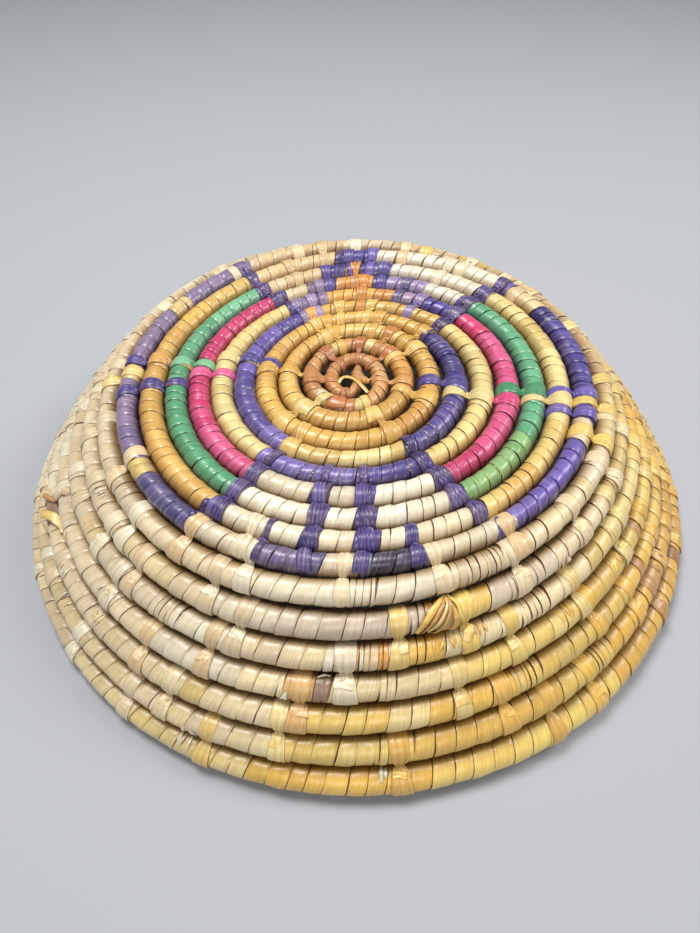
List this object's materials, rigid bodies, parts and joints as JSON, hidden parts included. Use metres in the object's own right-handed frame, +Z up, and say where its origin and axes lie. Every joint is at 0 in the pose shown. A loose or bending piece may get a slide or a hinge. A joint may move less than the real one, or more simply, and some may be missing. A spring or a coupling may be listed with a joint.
{
  "type": "woven basket",
  "caption": "Shallow round basket coiled from wrapped palm leaf, with a coloured star pattern on its base. Stands mouth down on its rim.",
  "frame": {"origin": "centre of the rim, in the plane that the rim stands on; the basket lies mouth down as pictured", "axes": "+Z up, from the mouth to the base; -Y towards the front of the picture, +X to its right"},
  "size_m": [0.3501, 0.3503, 0.0785],
  "materials": {
    "stems": "matte",
    "natural": "satin",
    "honey": "satin",
    "yellow": "satin",
    "caramel": "satin",
    "purple": "satin",
    "pink": "satin",
    "green": "satin"
  },
  "bodies": {
    "root": {"core_coil": "stems", "round_02_start_caramel": "caramel", "round_03_honey": "honey", "round_04_honey": "honey", "round_05_back_honey": "honey", "round_05_front_honey": "honey", "round_05_left_purple": "purple", "round_05_right_purple": "purple", "round_06_back_honey": "honey", "round_06_front_purple": "purple", "round_06_left_yellow": "yellow", "round_06_right_yellow": "yellow", "round_07_back_honey": "honey", "round_07_back_left_purple": "purple", "round_07_back_right_purple": "purple", "round_07_front_natural": "natural", "round_07_left_pink": "pink", "round_07_right_pink": "pink", "round_08_back_honey": "honey", "round_08_back_left_natural": "natural", "round_08_back_left_purple": "purple", "round_08_back_right_natural": "natural", "round_08_back_right_purple": "purple", "round_08_front_natural": "natural", "round_08_left_green": "green", "round_08_right_green": "green", "round_09_back_left_natural": "natural", "round_09_back_purple": "purple", "round_09_back_right_natural": "natural", "round_09_front_natural": "natural", "round_09_left_honey": "honey", "round_09_right_yellow": "yellow", "round_10_back_left_natural": "natural", "round_10_back_purple": "purple", "round_10_back_right_natural": "natural", "round_10_front_left_natural": "natural", "round_10_front_purple": "purple", "round_10_front_right_natural": "natural", "round_10_left_purple": "purple", "round_10_right_purple": "purple", "round_11_natural": "natural", "round_12_natural": "natural", "round_13_natural": "natural", "round_14_natural": "natural", "round_15_natural": "natural", "round_16_natural": "natural", "round_17_rim_natural": "natural"}
  },
  "joints": []
}
